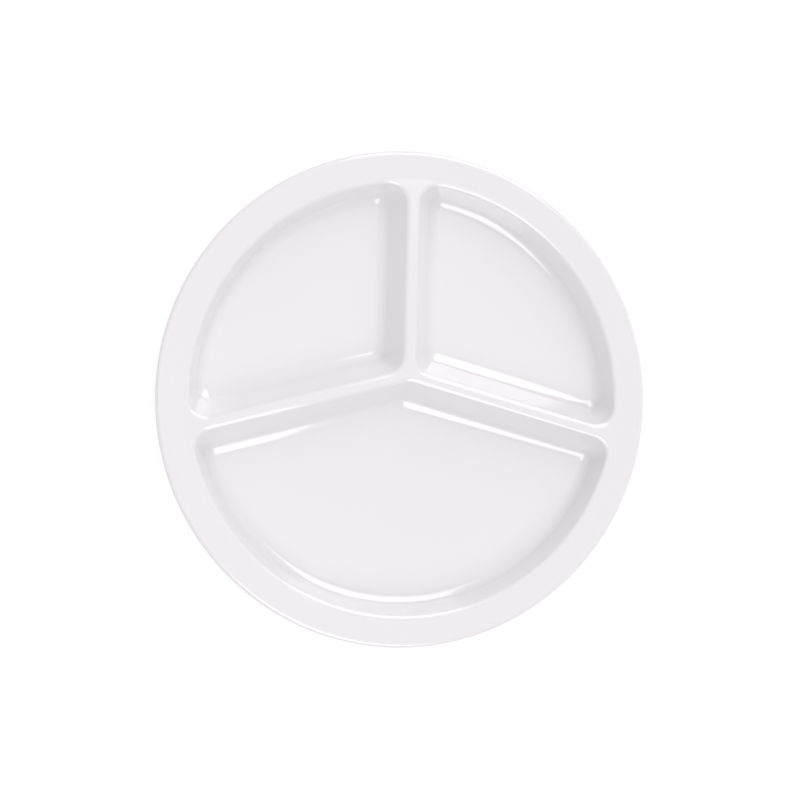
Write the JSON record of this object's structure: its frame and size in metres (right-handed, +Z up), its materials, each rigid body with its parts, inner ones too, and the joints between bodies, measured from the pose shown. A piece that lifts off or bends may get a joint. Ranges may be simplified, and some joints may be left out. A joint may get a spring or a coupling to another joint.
{
  "type": "divided compartment plate",
  "caption": "Round divided plate of moulded melamine with drafted wells for separate foods, a raised rim, hollow dividers and foot ridges.",
  "frame": {"origin": "centre of the surface that the plate stands on, under the middle of the round rim", "axes": "+Z up out of the wells, +Y along the upright divider from the point where the dividers meet, +X to the right of that divider seen from above"},
  "size_m": [0.254, 0.254, 0.0203],
  "materials": {
    "moulded_body": "moulded melamine, smooth on the back",
    "glaze": "high gloss pressed glaze",
    "foil": "resin-soaked paper foil, left without a print"
  },
  "bodies": {
    "root": {"plate_body": "moulded_body", "glaze_coat": "glaze", "decal_foil": "foil"}
  },
  "joints": []
}
